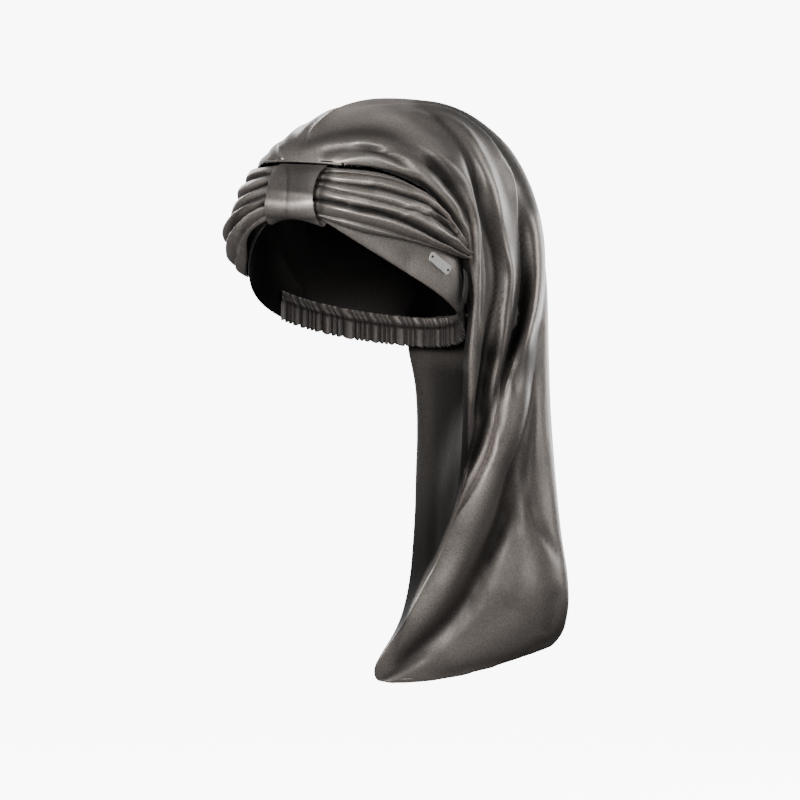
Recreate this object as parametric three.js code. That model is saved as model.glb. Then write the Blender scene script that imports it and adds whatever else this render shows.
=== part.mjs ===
// Long-tailed satin nightcap: a gathered bag with a ruched headband, in millimetres.
// The origin is the middle of the head opening, +Z is up and the face looks along -Y.
import * as THREE from 'three';

// Driving sizes
const WALL = 1.5; // doubled satin of every cloth piece
const ROWS_PER_SECTION = 2;
const NECK_COLUMNS = 6; // across the wall that faces the neck
const EAR_SECTION = 7; // where the crown's edges end and the neck wall starts
const TUCK = 11; // how far the folded edge turns in behind itself
const NECK_HOLLOW = 28; // how far the neck wall curves round the neck at its top
const HEM_SAG = 9.5; // how far the bottom edge bows down
const TAIL_TURN = 36; // degrees that the hanging tail is turned to the wearer's left

// Materials
const satin = new THREE.MeshStandardMaterial({ color: 0x6b645f, roughness: 0.38, metalness: 0 });
const casingCloth = new THREE.MeshStandardMaterial({ color: 0x5d5855, roughness: 0.55, metalness: 0 });
const brushedMetal = new THREE.MeshStandardMaterial({ color: 0xd8d8d6, roughness: 0.3, metalness: 1 });

// Sections of the bag, from the front seam over the crown and down the tail.
// l is the left edge, o the outermost point and r the right edge, each as x, y, z.
// nl and nr set how square each side is, bl and br how far it bellies out.
const CROWN_SECTIONS = [
  { name: 'seam', l: [40, -70, 99], o: [0, -77, 102], r: [-36, -71, 99], nl: 2, nr: 2, bl: 0, br: 0 },
  { name: 'brow', l: [56, -59, 97], o: [0, -66, 120], r: [-50, -60, 97], nl: 1.8, nr: 1.4, bl: 4, br: 0 },
  { name: 'forehead', l: [72, -44, 92], o: [0, -45, 133], r: [-68, -42, 91], nl: 1.8, nr: 1.35, bl: 5, br: 0 },
  { name: 'temple', l: [87, -20, 80], o: [2, -12, 143], r: [-85, -16, 78], nl: 1.9, nr: 1.5, bl: 5, br: 0 },
  { name: 'top', l: [94, 0, 60], o: [4, 30, 146], r: [-96, 8, 50], nl: 2, nr: 1.75, bl: 4, br: 0 },
  { name: 'shoulder', l: [97, 17, 30], o: [6, 76, 140], r: [-93, 30, -18], nl: 2, nr: 2, bl: 2, br: 4 },
  { name: 'above_ear', l: [94, 28, 0], o: [12, 124, 124], r: [-68, 68, -28], nl: 2.2, nr: 2.2, bl: 2, br: 10 },
  { name: 'ear', l: [92, 32, -22], o: [23, 166, 97], r: [-27, 92, -36], nl: 2.4, nr: 2.4, bl: 3, br: 16 },
];
// The tail's sections stand in a frame turned by TAIL_TURN: along, deep, up.
const TAIL_SECTIONS = [
  { name: 'back', l: [89, -26, -55], o: [134, 138, 58], r: [35, 93, -60], nl: 2.5, nr: 2.4, bl: 5, br: 14 },
  { name: 'neck', l: [89, -22, -86], o: [143, 144, 12], r: [41, 94, -88], nl: 2.6, nr: 2.4, bl: 5, br: 12 },
  { name: 'nape', l: [88, -14, -120], o: [146, 140, -40], r: [43, 95, -120], nl: 2.7, nr: 2.4, bl: 4, br: 10 },
  { name: 'collar', l: [86, 2, -155], o: [147, 132, -96], r: [43, 95, -155], nl: 2.8, nr: 2.5, bl: 5, br: 8 },
  { name: 'upper', l: [79, 26, -190], o: [152, 122, -150], r: [43, 95, -190], nl: 2.7, nr: 2.6, bl: 10, br: 8 },
  { name: 'middle', l: [66, 50, -220], o: [161, 108, -200], r: [42, 94, -220], nl: 2.6, nr: 2.6, bl: 16, br: 8 },
  { name: 'lower', l: [52, 66, -250], o: [170, 94, -242], r: [40, 92, -250], nl: 2.5, nr: 2.5, bl: 20, br: 12 },
  { name: 'calf', l: [36, 74, -280], o: [171, 88, -272], r: [32, 90, -282], nl: 2.5, nr: 2.5, bl: 18, br: 12 },
  { name: 'foot', l: [14, 78, -312], o: [165, 86, -289], r: [13, 88, -313], nl: 2.5, nr: 2.5, bl: 10, br: 8 },
  { name: 'hem', l: [17, 80, -326], o: [152, 85, -301], r: [16, 86, -326], nl: 2.5, nr: 2.5, bl: 2, br: 2 },
];

const turn = THREE.MathUtils.degToRad(TAIL_TURN);
const fromTailFrame = ([along, deep, up]) => [
  along * Math.cos(turn) - deep * Math.sin(turn),
  along * Math.sin(turn) + deep * Math.cos(turn),
  up,
];
const vector = (p) => new THREE.Vector3(...p);
const sections = [
  ...CROWN_SECTIONS,
  ...TAIL_SECTIONS.map((s) => ({ ...s, l: fromTailFrame(s.l), o: fromTailFrame(s.o), r: fromTailFrame(s.r) })),
].map((s) => ({ ...s, l: vector(s.l), o: vector(s.o), r: vector(s.r) }));

// Folds of the bag. Each has its place on the section (0 left edge, 1 outermost, 2 right edge,
// below 0 tucked behind the left edge) and how far it stands out, at every station.
// The stations are seam, forehead, top, above_ear, back, nape, upper, lower and hem.
const STATIONS = [0, 2, 4, 6, 8, 10, 12, 14, 17];
const FOLDS = [
  {
    name: 'seam_edge',
    at: [0, -0.06, -0.09, -0.1, -0.1, -0.1, -0.1, -0.1, -0.1],
    out: [0, 0, 0, 0, 0, 0, 0, 0, 0],
  },
  {
    name: 'lip',
    at: [0.1, 0.02, 0.01, -0.04, -0.07, -0.09, -0.09, -0.09, -0.09],
    out: [0, 3, 3, 0, 0, 0, 0, 0, 0],
  },
  {
    name: 'lip_roll',
    at: [0.3, 0.24, 0.07, -0.02, -0.05, -0.08, -0.08, -0.08, -0.08],
    out: [0, 4, 5, 0, 0, 0, 0, 0, 0],
  },
  {
    name: 'lip_valley',
    at: [0.42, 0.34, 0.11, -0.01, -0.03, -0.07, -0.07, -0.07, -0.07],
    out: [0, -2, -5, -1, 0, 0, 0, 0, 0],
  },
  {
    name: 'side_ridge',
    at: [0.52, 0.48, 0.17, 0.02, 0.01, 0, -0.06, -0.06, -0.06],
    out: [0, 3, 6, 5, 4, 2, 0, 0, 0],
  },
  {
    name: 'side_hollow',
    at: [0.6, 0.6, 0.3, 0.09, 0.06, 0.025, -0.05, -0.05, -0.05],
    out: [0, 1, 1, 1, 1, 0, 0, 0, 0],
  },
  {
    name: 'side_crease',
    at: [0.68, 0.7, 0.5, 0.18, 0.13, 0.05, -0.04, -0.04, -0.04],
    out: [0, 0, -4, -8, -10, -9, -1, 0, 0],
  },
  {
    name: 'pleat_ridge',
    at: [0.76, 0.8, 0.62, 0.27, 0.22, 0.085, -0.03, -0.03, -0.03],
    out: [0, 1, 3, 4, 6, 5, 0, 0, 0],
  },
  {
    name: 'facet',
    at: [0.83, 0.86, 0.73, 0.42, 0.29, 0.1, -0.022, -0.022, -0.022],
    out: [0, 0, 0, 1, 2, 3, 0, 0, 0],
  },
  {
    name: 'facet_edge',
    at: [0.88, 0.9, 0.82, 0.55, 0.35, 0.115, -0.015, -0.015, -0.015],
    out: [0, 0, 1, 6, 5, 1, 0, 0, 0],
  },
  {
    name: 'back_valley',
    at: [0.93, 0.94, 0.88, 0.62, 0.41, 0.135, -0.008, -0.008, -0.008],
    out: [0, 0, -2, -7, -13, -11, -1, 0, 0],
  },
  {
    name: 'roll_edge',
    at: [0.97, 0.98, 0.95, 0.76, 0.52, 0.17, 0, 0, 0],
    out: [0, 0, 1, 4, 6, 8, 7, 6, 0],
  },
  {
    name: 'roll_top',
    at: [1.02, 1.03, 1.03, 0.92, 0.72, 0.34, 0.1, 0.06, 0.02],
    out: [0, 1, 2, 3, 4, 7, 11, 9, 1],
  },
  {
    name: 'groove',
    at: [1.07, 1.08, 1.1, 1.03, 0.88, 0.46, 0.22, 0.17, 0.06],
    out: [0, 0, -1, -1, -2, -3, -9, -8, 0],
  },
  {
    name: 'panel_ridge',
    at: [1.12, 1.13, 1.18, 1.12, 0.96, 0.56, 0.34, 0.25, 0.12],
    out: [0, 0, 0, 0, 1, 1, 2, 2, 0],
  },
  {
    name: 'panel_middle',
    at: [1.2, 1.2, 1.27, 1.22, 1.05, 0.72, 0.52, 0.44, 0.4],
    out: [0, 1, 1, 0, 0, 0, 1, 1, 0],
  },
  {
    name: 'dimple',
    at: [1.28, 1.3, 1.36, 1.32, 1.14, 0.86, 0.68, 0.64, 0.68],
    out: [0, 0, -3, -4, -3, 0, 0, -2, 0],
  },
  {
    name: 'corner',
    at: [1.38, 1.4, 1.45, 1.42, 1.24, 1, 0.92, 0.92, 0.94],
    out: [0, 1, 2, 3, 3, 1, 0, 0, 0],
  },
  {
    name: 'back_groove',
    at: [1.48, 1.5, 1.55, 1.53, 1.38, 1.18, 1.12, 1.12, 1.1],
    out: [0, -1, -3, -5, -7, -7, -5, -3, 0],
  },
  {
    name: 'back_ridge',
    at: [1.58, 1.6, 1.65, 1.64, 1.53, 1.38, 1.32, 1.32, 1.34],
    out: [0, 1, 3, 4, 5, 5, 5, 3, 0],
  },
  {
    name: 'right_groove',
    at: [1.68, 1.7, 1.75, 1.75, 1.68, 1.56, 1.52, 1.54, 1.58],
    out: [0, -1, -3, -5, -6, -6, -5, -2, 0],
  },
  {
    name: 'right_ridge',
    at: [1.8, 1.8, 1.85, 1.86, 1.83, 1.76, 1.74, 1.77, 1.8],
    out: [0, 1, 3, 4, 4, 3, 2, 1, 0],
  },
  {
    name: 'right_edge',
    at: [2, 2, 2, 2, 2, 2, 2, 2, 2],
    out: [0, 0, 0, 0, 0, 0, 0, 0, 0],
  },
];

const lerp = THREE.MathUtils.lerp;
const smooth = (t) => t * t * (3 - 2 * t);

// A value of a table column at a row between two stations
function atStation(values, row) {
  const next = STATIONS.findIndex((station) => station >= row);
  if (next <= 0) return values[0];
  const t = (row - STATIONS[next - 1]) / (STATIONS[next] - STATIONS[next - 1]);
  return lerp(values[next - 1], values[next], smooth(t));
}

// A smooth curve through one number or point of every section
function alongSections(pick, row) {
  const i = Math.min(Math.floor(row), sections.length - 2);
  const t = row - i;
  const last = sections.length - 1;
  const [a, b, c, d] = [i - 1, i, i + 1, i + 2].map((k) => pick(sections[THREE.MathUtils.clamp(k, 0, last)]));
  const blend = (p, q, r, s) => {
    const curve = 2 * p - 5 * q + 4 * r - s + t * (3 * (q - r) + s - p);
    return q + 0.5 * t * (r - p + t * curve);
  };
  return typeof b === 'number' ? blend(a, b, c, d)
    : new THREE.Vector3(blend(a.x, b.x, c.x, d.x), blend(a.y, b.y, c.y, d.y), blend(a.z, b.z, c.z, d.z));
}
const sectionAt = (row) => Object.fromEntries(
  ['l', 'o', 'r', 'nl', 'nr', 'bl', 'br'].map((key) => [key, alongSections((s) => s[key], row)]));

// A point on one section: place runs 0 at the left edge, 1 at the outermost point, 2 at the right edge.
function sectionPoint(s, place, out = 0) {
  const middle = s.l.clone().add(s.r).multiplyScalar(0.5);
  if (place < 0) {
    const depth = Math.min(TUCK, 0.75 * s.l.distanceTo(middle)) * -place * 10;
    return s.l.clone().add(middle.sub(s.l).setLength(depth));
  }
  const left = place <= 1;
  const edge = left ? s.l : s.r;
  const power = 2 / (left ? s.nl : s.nr);
  const belly = left ? s.bl : s.br;
  const angle = (left ? place : 2 - place) * Math.PI / 2;
  const side = edge.clone().sub(middle);
  const outer = s.o.clone().sub(middle);
  const outward = side.clone().addScaledVector(outer, -side.dot(outer) / outer.lengthSq()).normalize();
  const rise = outer.clone().normalize();
  const across = Math.max(Math.cos(angle), 0) ** power;
  const along = Math.max(Math.sin(angle), 0) ** power;
  const normal = outward.clone().multiplyScalar(Math.cos(angle)).addScaledVector(rise, Math.sin(angle));
  return middle
    .addScaledVector(side, across)
    .addScaledVector(outer, along)
    .addScaledVector(outward, belly * Math.sin(2 * angle))
    .addScaledVector(normal, out);
}

// The columns of the bag's grid run along the folds, with one more between each two
function foldColumns(row) {
  const lines = FOLDS.map((fold) => ({ at: atStation(fold.at, row), out: atStation(fold.out, row) }));
  return lines.flatMap((line, i) => i === 0 ? [line] : [
    { at: (lines[i - 1].at + line.at) / 2, out: (lines[i - 1].out + line.out) / 2 },
    line,
  ]);
}

// Turns a surface into a closed wall: the second skin lies along the normals, the borders are joined.
function wallFrom(points, triangles, thickness) {
  const normals = points.map(() => new THREE.Vector3());
  for (const [a, b, c] of triangles) {
    const n = points[b].clone().sub(points[a]).cross(points[c].clone().sub(points[a]));
    for (const corner of [a, b, c]) normals[corner].add(n);
  }
  const count = points.length;
  const skin = points.map((p, i) => p.clone().addScaledVector(normals[i].normalize(), -thickness));
  const all = [...triangles, ...triangles.map(([a, b, c]) => [a + count, c + count, b + count])];
  const edges = new Set(triangles.flatMap(([a, b, c]) => [`${a},${b}`, `${b},${c}`, `${c},${a}`]));
  for (const edge of edges) {
    const [a, b] = edge.split(',').map(Number);
    if (!edges.has(`${b},${a}`)) all.push([b, a, a + count], [b, a + count, b + count]);
  }
  return geometryFrom([...points, ...skin], all);
}

function geometryFrom(points, triangles) {
  const geometry = new THREE.BufferGeometry();
  geometry.setAttribute('position', new THREE.Float32BufferAttribute(points.flatMap((p) => p.toArray()), 3));
  geometry.setIndex(triangles.flat());
  return geometry;
}

// Triangles of a grid of points, rows of equal length, facing away from a x b
function gridTriangles(rows, columns, closed = false) {
  const triangles = [];
  for (let i = 0; i < rows - 1; i++) {
    for (let j = 0; j < (closed ? columns : columns - 1); j++) {
      const k = (j + 1) % columns;
      const [a, b, c, d] = [i * columns + j, i * columns + k, (i + 1) * columns + k, (i + 1) * columns + j];
      triangles.push([a, b, c], [a, c, d]);
    }
  }
  return triangles;
}

// Crown and tail: an open arch over the head as far as the ears, then closed rings down the tail
function crownAndTail() {
  const rowCount = (sections.length - 1) * ROWS_PER_SECTION + 1;
  const firstRing = EAR_SECTION * ROWS_PER_SECTION;
  const points = [];
  const rings = [];
  for (let i = 0; i < rowCount; i++) {
    const row = i / ROWS_PER_SECTION;
    const section = sectionAt(row);
    const ring = foldColumns(row).map(({ at, out }) => sectionPoint(section, at, out));
    const hem = THREE.MathUtils.clamp(row - (sections.length - 3), 0, 2) / 2;
    if (i >= firstRing) {
      const down = THREE.MathUtils.clamp((row - EAR_SECTION - 1) / 4, 0, 1);
      const right = ring[ring.length - 1];
      const left = ring[0];
      const hollow = NECK_HOLLOW * (1 - smooth(down));
      const backward = new THREE.Vector3(right.y - left.y, left.x - right.x, 0).normalize();
      for (let k = 1; k < NECK_COLUMNS; k++) {
        const t = k / NECK_COLUMNS;
        ring.push(right.clone().lerp(left, t).addScaledVector(backward, hollow * Math.sin(Math.PI * t)));
      }
    }
    for (const p of ring) {
      const alongHem = THREE.MathUtils.clamp((p.x - section.l.x) / (section.o.x - section.l.x), 0, 1);
      p.z -= HEM_SAG * hem * Math.sin(Math.PI * alongHem);
    }
    rings.push(ring.map((p) => points.push(p) - 1));
  }
  const triangles = [];
  for (let i = 0; i < rowCount - 1; i++) {
    const closed = i >= firstRing;
    const width = closed ? rings[i].length : rings[0].length - 1;
    for (let j = 0; j < width; j++) {
      const k = closed ? (j + 1) % rings[i].length : j + 1;
      const [a, b, c, d] = [rings[i][j], rings[i][k], rings[i + 1][k], rings[i + 1][j]];
      triangles.push([a, c, b], [a, d, c]);
    }
  }
  const last = rings[rowCount - 1];
  const zip = (k) => last[(k + last.length) % last.length];
  for (let k = 0; k < last.length / 2 - 1; k++) {
    const [a, b, c, d] = [zip(k), zip(k + 1), zip(-k - 2), zip(-k - 1)];
    triangles.push([a, c, b]);
    if (a !== d) triangles.push([a, d, c]);
  }
  return wallFrom(points, triangles, WALL);
}

// The headband, by turn in degrees from the front: the heights of its lower edge on the wearer's
// left and right and of its upper edge, how far the upper edge leans in, and where on its height
// the gathers start and end
const BAND = [
  { turn: 0, lowLeft: 60, lowRight: 60, high: 97.5, lean: 6.5, gatherLow: 0.06, gatherHigh: 0.94 },
  { turn: 14, lowLeft: 57, lowRight: 57, high: 97.5, lean: 7, gatherLow: 0.06, gatherHigh: 0.96 },
  { turn: 30, lowLeft: 42, lowRight: 41, high: 96, lean: 8, gatherLow: 0.14, gatherHigh: 0.97 },
  { turn: 45, lowLeft: 28, lowRight: 22, high: 94, lean: 8, gatherLow: 0.24, gatherHigh: 0.97 },
  { turn: 59, lowLeft: 15, lowRight: 1, high: 89.5, lean: 7.5, gatherLow: 0.34, gatherHigh: 0.97 },
  { turn: 77, lowLeft: 0, lowRight: -15, high: 76, lean: 5, gatherLow: 0.43, gatherHigh: 0.97 },
  { turn: 90, lowLeft: -10, lowRight: -24.5, high: 55, lean: 1, gatherLow: 0.56, gatherHigh: 0.96 },
  { turn: 99, lowLeft: -19, lowRight: -31, high: 30, lean: -1, gatherLow: 0.78, gatherHigh: 0.94 },
  { turn: 107, lowLeft: -27, lowRight: -35.5, high: 0, lean: 0, gatherLow: 0.9, gatherHigh: 0.93 },
  { turn: 120, lowLeft: -34, lowRight: -41, high: -12, lean: 0, gatherLow: 0.9, gatherHigh: 0.93 },
];
const HEAD_HALF_WIDTH = 88;
const HEAD_FRONT = 83;
const HEAD_BACK = 92;
const BAND_END_LEFT = 105; // degrees from the front
const BAND_END_RIGHT = 114;
const BAND_BULGE = 5;

// A value of the headband's table at a turn, which is negative on the wearer's right
function bandAt(turn, column) {
  const at = Math.abs(turn);
  const next = Math.max(1, BAND.findIndex((row) => row.turn >= at));
  const [a, b] = [BAND[next - 1], BAND[next]];
  return lerp(a[column], b[column], (at - a.turn) / (b.turn - a.turn));
}
const bandLow = (turn) => bandAt(turn, turn < 0 ? 'lowRight' : 'lowLeft');

// A point on the headband: turn from the front, height 0 at the lower and 1 at the upper edge
function bandPoint(turn, height, out = 0) {
  const angle = THREE.MathUtils.degToRad(turn);
  const depth = Math.cos(angle) > 0 ? HEAD_FRONT : HEAD_BACK;
  const outward = new THREE.Vector3(Math.sin(angle) / HEAD_HALF_WIDTH, -Math.cos(angle) / depth, 0).normalize();
  const stand = BAND_BULGE * Math.sin(Math.PI * height) - bandAt(turn, 'lean') * height + out;
  return new THREE.Vector3(HEAD_HALF_WIDTH * Math.sin(angle), -depth * Math.cos(angle),
    lerp(bandLow(turn), bandAt(turn, 'high'), height)).addScaledVector(outward, stand);
}

// A wall from a function of two numbers from 0 to 1
function gridWall(across, up, pointAt, thickness) {
  const points = [];
  for (let i = 0; i <= up; i++) for (let j = 0; j <= across; j++) points.push(pointAt(j / across, i / up));
  return wallFrom(points, gridTriangles(up + 1, across + 1), thickness);
}

function frontBand() {
  const [across, up] = [26, 5];
  return gridWall(across, up, (s, t) => bandPoint(lerp(-BAND_END_RIGHT, BAND_END_LEFT, s), t), WALL);
}

// The pleated overlay runs through the centre loop, where it is pressed flat
const GATHER_END = 97; // degrees from the front
const GATHER_CLEARANCE = 0.65;
const PLEATS = 6;
const SAMPLES_PER_PLEAT = 3;
const PRESSED_TO = 11; // degrees from the front, under the loop
const FREE_AFTER = 18; // degrees more, where the pleats stand free
const CLOSING = 26; // degrees over which the pleats close into the ear
const PUFF_LEFT = 5;
const PUFF_RIGHT = 12;
const PLEAT_PRESSED = 1.5;
const PLEAT_FREE = 5;
const PLEAT_DRIFT = 0.035; // how far the pleats wander up and down, as a share of the height
const RIGHT_LOW_SHARE = 0.2; // the wearer's right is gathered almost to the lower edge

function gatheredBand() {
  const across = 32;
  const between = (value, from, width) => smooth(THREE.MathUtils.clamp((value - from) / width, 0, 1));
  return gridWall(across, PLEATS * SAMPLES_PER_PLEAT, (s, t) => {
    const turn = lerp(-GATHER_END, GATHER_END, s);
    const away = Math.abs(turn);
    const right = turn < 0;
    const free = between(away, PRESSED_TO, FREE_AFTER);
    const closing = between(GATHER_END - away, 0, CLOSING);
    const lowShare = right ? lerp(RIGHT_LOW_SHARE, 1, between(away, 60, 40)) : 1;
    const drift = PLEAT_DRIFT * free * Math.sin(2 * Math.PI * t) * Math.sin(turn / 11 + 4 * t);
    const height = lerp(bandAt(turn, 'gatherLow') * lowShare, bandAt(turn, 'gatherHigh'), t + drift);
    const arch = Math.sin(Math.PI * t);
    const bulge = right ? PUFF_RIGHT * Math.sin(Math.PI * t ** 0.6) ** 1.2 * (1 - 0.6 * t) : PUFF_LEFT * arch ** 0.6;
    const pleat = Math.abs(Math.sin(Math.PI * PLEATS * t)) ** 0.7 * (1 + 0.35 * Math.sin(turn / 7 + 9 * t));
    const puff = bulge * free * closing;
    const depth = lerp(PLEAT_PRESSED, PLEAT_FREE, free) * lerp(0.45, 1, closing) * lerp(0.6, 1, arch);
    return bandPoint(turn, height, GATHER_CLEARANCE + WALL + puff + depth * pleat);
  }, WALL);
}

// The smooth strip round the gathers: its inner face as depth and height, from the seam, over the
// front, under the lower edge and up inside
const LOOP_PATH = [
  { deep: -79.5, up: 97.6, half: 1 }, { deep: -89, up: 93.5, half: 0.97 }, { deep: -94, up: 85, half: 0.95 },
  { deep: -95.5, up: 74, half: 0.96 }, { deep: -94.5, up: 66, half: 1.02 }, { deep: -91, up: 60, half: 1.08 },
  { deep: -85.5, up: 56.6, half: 1.1 }, { deep: -80, up: 58, half: 1.08 }, { deep: -79, up: 65, half: 1.02 },
  { deep: -77.5, up: 78, half: 0.98 },
];
const LOOP_HALF_WIDTH = 24;
const LOOP_SHIFT = 5; // how far its top stands to the wearer's left
const LOOP_CURL = 1.2; // how far its two edges turn in
function centreLoop() {
  const [across, along] = [6, 18];
  const stops = LOOP_PATH.map(({ deep, up, half }) => new THREE.Vector3(half, deep, up));
  const curve = new THREE.CatmullRomCurve3(stops);
  return gridWall(across, along, (s, t) => {
    const p = curve.getPoint(t);
    const x = lerp(-1, 1, s) * LOOP_HALF_WIDTH * p.x;
    const turn = THREE.MathUtils.radToDeg(Math.asin(x / HEAD_HALF_WIDTH));
    const drop = (bandLow(0) - bandLow(turn)) * THREE.MathUtils.clamp((95 - p.z) / 38, 0, 1);
    const sag = x * x / (2 * HEAD_HALF_WIDTH) + LOOP_CURL * Math.abs(x / LOOP_HALF_WIDTH) ** 6;
    const inside = p.y > -HEAD_FRONT && t > 0.5;
    return new THREE.Vector3(x + LOOP_SHIFT * (p.z - 60) / 40, p.y + (inside ? 0.9 : 1) * sag, p.z - drop);
  }, WALL);
}

// The piped seam between the band and the crown: a cord with a rounded point at each end
const WELT_RADIUS = 1.1;
const WELT_RIGHT = -36;
const WELT_LEFT = 40;
function seamWelt() {
  const [steps, sides] = [16, 6];
  const line = new THREE.CatmullRomCurve3([WELT_RIGHT, WELT_RIGHT / 2, 0, WELT_LEFT / 2, WELT_LEFT].map((x) => {
    const t = x < 0 ? x / WELT_RIGHT : x / WELT_LEFT;
    return new THREE.Vector3(x, -80.2 + 6 * t * t, 101 - 1.8 * t * t);
  }));
  const points = [];
  for (let i = 0; i <= steps; i++) {
    const centre = line.getPoint(i / steps);
    for (let k = 0; k < sides; k++) {
      const angle = k / sides * Math.PI * 2;
      const round = new THREE.Vector3(0, Math.cos(angle), Math.sin(angle));
      points.push(centre.clone().addScaledVector(round, WELT_RADIUS));
    }
  }
  const triangles = gridTriangles(steps + 1, sides, true);
  for (const [ring, end] of [[0, -1], [steps * sides, 1]]) {
    const point = line.getPoint(end > 0 ? 1 : 0).add(new THREE.Vector3(end * WELT_RADIUS * 0.6, 0, 0));
    const tip = points.push(point) - 1;
    for (let k = 0; k < sides; k++) {
      const [a, b] = [ring + k, ring + (k + 1) % sides];
      triangles.push(end > 0 ? [a, b, tip] : [b, a, tip]);
    }
  }
  return geometryFrom(points, triangles);
}

// The ruffled elastic casing round the nape
const RUFFLES = 38;
const CASING_FROM = 262; // degrees from the front, past the nape to the wearer's right
const CASING_TO = 105;
const CASING_HEIGHT = 23;
const CASING_END_HEIGHT = 7;
const CASING_INSET = 4.6; // inside the crown's edge
const CASING_LOW = -54; // lower edge at the nape
const CASING_RISE_LEFT = 26;
const CASING_RISE_RIGHT = 18;
const RUFFLE_ROWS = [
  { share: 0, ruffle: 1.3 },
  { share: 0.4, ruffle: 1 },
  { share: 1, ruffle: 0.7 },
];
function napeCasing() {
  const steps = RUFFLES * 2;
  const points = [];
  for (const { share, ruffle } of RUFFLE_ROWS) {
    for (let j = 0; j <= steps; j++) {
      const turn = lerp(CASING_FROM, CASING_TO, j / steps);
      const fromNape = turn - 180;
      const rise = (fromNape > 0 ? CASING_RISE_RIGHT : CASING_RISE_LEFT) * (fromNape / 73) ** 2;
      const full = THREE.MathUtils.clamp((turn - CASING_TO) / 14, 0, 1);
      const flat = THREE.MathUtils.clamp(Math.min(CASING_FROM - turn, turn - CASING_TO) / 14, 0, 1);
      const wave = (j % 2 ? 1 : -1) * ruffle * flat;
      const angle = THREE.MathUtils.degToRad(turn);
      const inset = CASING_INSET + wave;
      const z = CASING_LOW + rise + share * lerp(CASING_END_HEIGHT, CASING_HEIGHT, full);
      const [x, y] = [(HEAD_HALF_WIDTH - inset) * Math.sin(angle), -(HEAD_BACK - inset) * Math.cos(angle)];
      points.push(new THREE.Vector3(x, y, z));
    }
  }
  return wallFrom(points, gridTriangles(RUFFLE_ROWS.length, steps + 1), WALL);
}

// The small metal plate on the smooth part of the band, with two sewing holes
const PLATE = { length: 24.5, height: 7.6, thickness: 0.8, corner: 1.6, hole: 0.9, holeInset: 2.4, lift: 0.35 };
const PLATE_TURN = 81.5;
const PLATE_HEIGHT = 0.33;
function metalTag() {
  const [a, b, c] = [PLATE.length / 2, PLATE.height / 2, PLATE.corner];
  const outline = new THREE.Shape([[-a + c, -b], [a - c, -b], [a, -b + c], [a, b - c], [a - c, b], [-a + c, b],
    [-a, b - c], [-a, -b + c]].map((p) => new THREE.Vector2(...p)));
  for (const side of [-1, 1]) {
    const hole = new THREE.Path().absarc(side * (a - PLATE.holeInset), 0, PLATE.hole, 0, Math.PI * 2, true);
    outline.holes.push(hole);
  }
  const settings = { depth: PLATE.thickness, bevelEnabled: false, curveSegments: 4 };
  const geometry = new THREE.ExtrudeGeometry(outline, settings);
  const seat = bandPoint(PLATE_TURN, PLATE_HEIGHT, PLATE.lift);
  const step = (turn, height) => bandPoint(PLATE_TURN + turn, PLATE_HEIGHT + height);
  const along = step(6, 0).sub(step(-6, 0)).normalize();
  const rise = step(0, 0.05).sub(step(0, -0.05)).normalize();
  const outward = along.clone().cross(rise).normalize();
  const basis = new THREE.Matrix4().makeBasis(along, outward.clone().cross(along), outward).setPosition(seat);
  return geometry.applyMatrix4(basis);
}

// The tucked end of the band beside the ear
const TAB_FROM = 98.5;
const TAB_TO = 102.5;
function sideTab() {
  const [across, up] = [3, 6];
  return gridWall(across, up, (s, t) => bandPoint(lerp(TAB_FROM, TAB_TO, s), lerp(0.2, 0.7, t),
    2.1 + 2.2 * Math.sin(Math.PI * s)), WALL);
}

const object = new THREE.Group();
object.name = 'nightcap';
function addPiece(name, geometry, material) {
  const mesh = new THREE.Mesh(geometry, material);
  mesh.name = name;
  object.add(mesh);
}
addPiece('crown_and_tail', crownAndTail(), satin);
addPiece('front_band', frontBand(), satin);
addPiece('gathered_band', gatheredBand(), satin);
addPiece('centre_loop', centreLoop(), satin);
addPiece('seam_welt', seamWelt(), satin);
addPiece('nape_casing', napeCasing(), casingCloth);
addPiece('side_tab', sideTab(), satin);
addPiece('metal_tag', metalTag(), brushedMetal);
export default object;
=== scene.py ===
import math
from collections import namedtuple

import bmesh
import bpy
import numpy as np
from bpy.props import FloatProperty, FloatVectorProperty, IntProperty, PointerProperty
from mathutils import Matrix, Vector, noise
from mathutils.bvhtree import BVHTree
from mathutils.kdtree import KDTree


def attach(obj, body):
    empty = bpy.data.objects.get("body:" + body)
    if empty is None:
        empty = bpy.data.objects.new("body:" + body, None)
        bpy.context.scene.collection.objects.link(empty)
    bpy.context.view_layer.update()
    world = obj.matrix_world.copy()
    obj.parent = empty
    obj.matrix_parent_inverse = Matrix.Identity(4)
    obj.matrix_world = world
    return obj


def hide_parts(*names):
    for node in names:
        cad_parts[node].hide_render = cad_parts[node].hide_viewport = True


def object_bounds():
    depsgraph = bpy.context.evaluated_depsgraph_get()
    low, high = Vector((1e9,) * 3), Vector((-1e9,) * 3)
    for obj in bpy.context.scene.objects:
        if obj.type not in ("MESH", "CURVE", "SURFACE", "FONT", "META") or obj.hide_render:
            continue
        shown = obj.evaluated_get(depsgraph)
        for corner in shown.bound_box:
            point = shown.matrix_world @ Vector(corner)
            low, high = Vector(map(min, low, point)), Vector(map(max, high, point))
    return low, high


bl_info = {
    "name": "Satin nightcap",
    "version": (1, 0, 0),
    "blender": (4, 5, 0),
    "location": "View3D > Sidebar > Nightcap",
    "description": "Builds a long-tailed satin nightcap round its packed frame",
    "category": "Add Mesh",
}

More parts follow.
